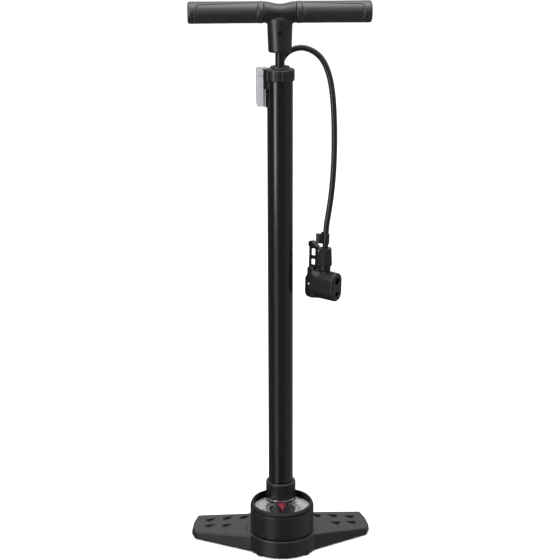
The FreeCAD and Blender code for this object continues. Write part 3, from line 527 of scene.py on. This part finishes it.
def wing_rule(point):
    """A clean wing top under the separate treads."""
    across = abs(point.x)
    top = wing_top(across)
    if across < 36 or point.z < top - 0.15:
        return point
    for reach, along in TREAD_SPOTS:
        if ((across - reach) / 8.4) ** 2 + ((point.y - along) / 5.6) ** 2 < 1:
            return Vector((point.x, point.y, top - 0.12))
    return point


def tread_mesh():
    """Ten low teardrops on the wings, each blunt outside and pointed inside."""
    points, faces = [], []
    for across, along in TREAD_SPOTS:
        for side in (-1, 1):
            add_tread(points, faces, side, across, along)
    mesh = bpy.data.meshes.new("wing_treads")
    mesh.from_pydata([point * MM for point in points], [], faces)
    edit_mesh(mesh, turn_outwards)
    return mesh


def tread_point(side, across, along, share, around):
    """A point on a tread, at a share of the way from its middle to its rim."""
    out = math.cos(around)
    wide = math.sin(around) * (0.66 + 0.34 * out)
    reach = across + 6.4 * out * share
    lean = max(0.12, min(1.0, 0.62 - 0.6 * math.sin(around) * share))
    rise = 3.6 * math.sqrt(max(0.0, 1 - share ** 8)) * (0.6 + 0.4 * out * share) * lean
    return Vector((side * reach, along + 3.6 * wide * share, wing_top(reach) - 0.3 + rise))


def add_tread(points, faces, side, across, along):
    """A steep-sided bump that ramps down towards its pointed inner end."""
    first = len(points)
    shares = [0.15, 0.4, 0.6, 0.75, 0.85, 0.92, 0.97, 1.0]
    steps = 40
    for share in shares:
        points.extend(tread_point(side, across, along, share, step * math.tau / steps) for step in range(steps))
    points.append(Vector((side * across, along, wing_top(across) + 1.06)))
    for step in range(steps):
        after = (step + 1) % steps
        faces.append((len(points) - 1, first + step, first + after))
        for ring in range(len(shares) - 1):
            low = first + ring * steps
            faces.append((low + step, low + steps + step, low + steps + after, low + after))


fused("base", 0.75, 7, wing_rule)
fused("gauge_housing", 0.6, 4)
smooth(add_piece("wing_treads", tread_mesh(), "base", TRIM), 60)


# ------------------------------------------------------------- the gauge

DIAL_Z = 46.82
HUB = Vector((0, -31.5, 0))
COLLAR_BITE = 18.5
LENS_CLEARANCE = 49.75


def bezel_rule(point):
    """The ring stands taller behind the dial than in front of it."""
    back = max(0.0, min(1.0, (point.y + 34.0) / 36.0))
    up = max(0.0, min(1.0, (point.z - 52.0) / 2.0))
    return point + Vector((0, 0, 2.4 * back * back * (3 - 2 * back) * up))


def needle_rule(point):
    """A domed boss on the pointer's pivot and its round tail, and a broader blade."""
    across = point.x * 1.3
    reach = min(math.hypot(point.x, point.y + 31.5) / 3.4, math.hypot(point.x, point.y + 23.5) / 4.4)
    rise = (LENS_CLEARANCE - point.z) * math.sqrt(max(0.0, 1 - reach * reach)) if point.z > 48.2 else 0.0
    return Vector((across, point.y, point.z + rise))


dress(fused("gauge_bezel", 0.45, 2, bezel_rule), BEZEL)
fused("gauge_needle", 0.2, 1, needle_rule)


def on_dial(radius, angle):
    """A place on the dial's face, at an angle in degrees clockwise from the barrel's side."""
    turn = math.radians(angle)
    return HUB + Vector((radius * math.sin(turn), radius * math.cos(turn), DIAL_Z))


def clear_of_collar(place, margin=0.0):
    """Whether a place on the dial is outside the round bite that the collar takes."""
    return math.hypot(place.x, place.y) > COLLAR_BITE + margin


def flat_ring(points, faces, inner, outer, begin, end, steps):
    """Part of a printed ring about the pointer's pivot."""
    for step in range(steps):
        near = begin + (end - begin) * step / steps
        far = begin + (end - begin) * (step + 1) / steps
        corners = [on_dial(inner, near), on_dial(outer, near), on_dial(outer, far), on_dial(inner, far)]
        if all(clear_of_collar(corner) for corner in corners):
            faces.append(tuple(range(len(points), len(points) + 4)))
            points.extend(corners)


def dial_marks():
    """Two scales of ticks with a thin ring between them."""
    points, faces = [], []
    flat_ring(points, faces, 16.7, 17.3, -150, 150, 100)
    for mark in range(49):
        angle = -150 + mark * 300 / 48
        long = mark % 6 == 0
        flat_ring(points, faces, 17.3, 20.8 if long else 19.2, angle - 0.55, angle + 0.55, 1)
        if mark % 3 == 0:
            flat_ring(points, faces, 14.3 if long else 15.4, 16.7, angle - 0.6, angle + 0.6, 1)
    mesh = bpy.data.meshes.new("dial_marks")
    mesh.from_pydata([point * MM for point in points], [], faces)
    return mesh


def dial_number(value, radius, angle, height):
    """One printed number of the scale, where the collar leaves room for it."""
    if not clear_of_collar(on_dial(radius, angle), height / 2):
        return
    name = "dial_number_%s" % value
    text = bpy.data.curves.new(name, "FONT")
    text.body = str(value)
    text.size = height * MM
    text.align_x = "CENTER"
    text.align_y = "CENTER"
    text.resolution_u = 3
    place = (on_dial(radius, angle) + Vector((0, 0, 0.02))) * MM
    printed = bpy.data.objects.new(name, text)
    bpy.context.scene.collection.objects.link(printed)
    mesh = bpy.data.meshes.new_from_object(printed)
    bpy.data.objects.remove(printed)
    mesh.transform(Matrix.Translation(place))
    add_piece(name, mesh, "gauge_dial", PRINT)


add_piece("dial_marks", dial_marks(), "gauge_dial", PRINT)
for index in range(9):
    dial_number(index * 20, 23.9, -150 + index * 37.5, 4.2)
for index in range(1, 6):
    dial_number(index * 2, 11.0, -150 + index * 50, 3.0)


# ------------------------------------------------------------- the cap and the case

def flute_rule(point):
    """Shallow flats sunk into the cap's skirt, for grip."""
    reach = math.hypot(point.x, point.y)
    if not 15.9 < reach < 17.6 or point.z < 554 or abs(point.y - 20.5) < 6 or point.x < -14:
        return point
    around = math.degrees(math.atan2(point.x, -point.y)) + 7
    place = abs((around + 22.5) % 45 - 22.5)
    depth = 0.55 * max(0.0, min(1.0, (14.5 - place) / 1.6))
    return Vector((point.x * (1 - depth / reach), point.y * (1 - depth / reach), point.z))


fused("top_cap", 0.4, 4, flute_rule)
fused("rod_bush", 0.35, 3)
fused("adapter_case", 0.35, 12)
fused("adapter_case_lid", 0.35, 12)


# ------------------------------------------------------------- the pump head

def head_rule(point):
    """Rounds the body's top and bottom where they run into the rounded port cap."""
    share = max(0.0, min(1.0, (point.x + 11.0) / 9.0))
    if share == 0 or point.z > -26.2 and math.hypot(point.x, point.y) < 8.2:
        return point
    for middle, sign in ((-37.0, 1), (-51.5, -1)):
        above = (point.z - middle) * sign
        reach = math.hypot(point.y, above)
        if above > 0 and reach > 10:
            pull = 1 - share * (1 - 10.0 / reach)
            return Vector((point.x, point.y * pull, middle + sign * above * pull))
    return point


def in_head(rule):
    """The same rule, for points given in the object's frame."""
    inverse = HEAD.inverted()
    return lambda point: HEAD @ (rule(inverse @ (point * MM) / MM) * MM) / MM


def neck_zone(point):
    """Where the neck runs into the body."""
    local = HEAD.inverted() @ (point * MM) / MM
    if local.z < -34 or local.z > -22 or local.x < -10:
        return 0.0
    return min(1.0, (local.z + 34) / 5, (-22 - local.z) / 2)


HEAD_PIECE = fused("head_body", 0.35, 4, in_head(head_rule))
blend_zone(HEAD_PIECE, neck_zone, 40)
smooth(HEAD_PIECE, 60)
fused("head_nut", 0.25, 2)
fused("port_cap", 0.3, 5)
fused("lever", 0.25, 2)
fused("hose_clip", 0.25, 2)


# ---------------------------------------------------------------- the room

def make_floor():
    """A pale floor out to the horizon, which glossy pieces don't mirror."""
    mesh = bpy.data.meshes.new("floor")
    reach = 14.0
    corners = [(-reach, -reach, 0), (reach, -reach, 0), (reach, reach, 0), (-reach, reach, 0)]
    mesh.from_pydata(corners, [], [(0, 1, 2, 3)])
    floor = bpy.data.objects.new("floor", mesh)
    bpy.context.scene.collection.objects.link(floor)
    dress(floor, material("floor_pale", (0.97, 0.97, 0.97), 0.9, (300, 0.02, 0.0002), tint=(0.98, 0.98, 0.98)))
    floor.visible_glossy = False


def area_light(name, place, target, size, power):
    """A soft box of light, turned to face the target."""
    data = bpy.data.lights.new(name, "AREA")
    data.shape = "RECTANGLE"
    data.size, data.size_y = size
    data.energy = power
    light = bpy.data.objects.new(name, data)
    bpy.context.scene.collection.objects.link(light)
    light.location = place
    light.rotation_euler = (Vector(target) - Vector(place)).to_track_quat("-Z", "Y").to_euler()


def glow(nodes, links, direction, toward, edge, core, strength):
    """A soft patch of the surroundings, strongest in one direction."""
    facing = nodes.new("ShaderNodeVectorMath")
    facing.operation = "DOT_PRODUCT"
    facing.inputs[1].default_value = toward
    links.new(direction, facing.inputs[0])
    return ramp(nodes, links, facing.outputs["Value"], edge, core, 0.0, strength, "SMOOTHSTEP")


def make_sky():
    """Soft studio surroundings, dim near the floor and bright overhead, with a soft light low on each side.
    Seen directly they are plain white."""
    world = bpy.data.worlds.new("studio")
    bpy.context.scene.world = world
    world.use_nodes = True
    nodes, links = world.node_tree.nodes, world.node_tree.links
    direction = nodes.new("ShaderNodeTexCoord").outputs["Generated"]
    parts = nodes.new("ShaderNodeSeparateXYZ")
    links.new(direction, parts.inputs["Vector"])
    total = ramp(nodes, links, parts.outputs["Z"], -0.05, 0.75, 0.14, 1.3, "SMOOTHSTEP")
    left = glow(nodes, links, direction, (-0.66, -0.72, -0.21), 0.91, 0.985, 0.77)
    right = glow(nodes, links, direction, (0.96, 0.05, -0.27), 0.35, 0.85, 0.2)
    for patch in (left, right):
        both = nodes.new("ShaderNodeMath")
        links.new(total, both.inputs[0])
        links.new(patch, both.inputs[1])
        total = both.outputs["Value"]
    seen = nodes.new("ShaderNodeLightPath")
    plain = nodes.new("ShaderNodeMix")
    plain.inputs[3].default_value = 1.05
    links.new(seen.outputs["Is Camera Ray"], plain.inputs[0])
    links.new(total, plain.inputs[2])
    links.new(plain.outputs[0], nodes["Background"].inputs["Strength"])
    nodes["Background"].inputs["Color"].default_value = (0.97, 0.985, 1.0, 1)


def make_room():
    """The floor, the surroundings and two lights."""
    make_floor()
    make_sky()
    area_light("key", (-1.2, -1.1, 0.75), (0, 0, 0.42), (0.6, 1.5), 13)
    area_light("top", (0, -0.1, 2.2), (0, 0, 0), (2.2, 1.6), 34)
    bpy.context.scene.view_settings.view_transform = "Standard"


make_room()

bpy.context.view_layer.update()
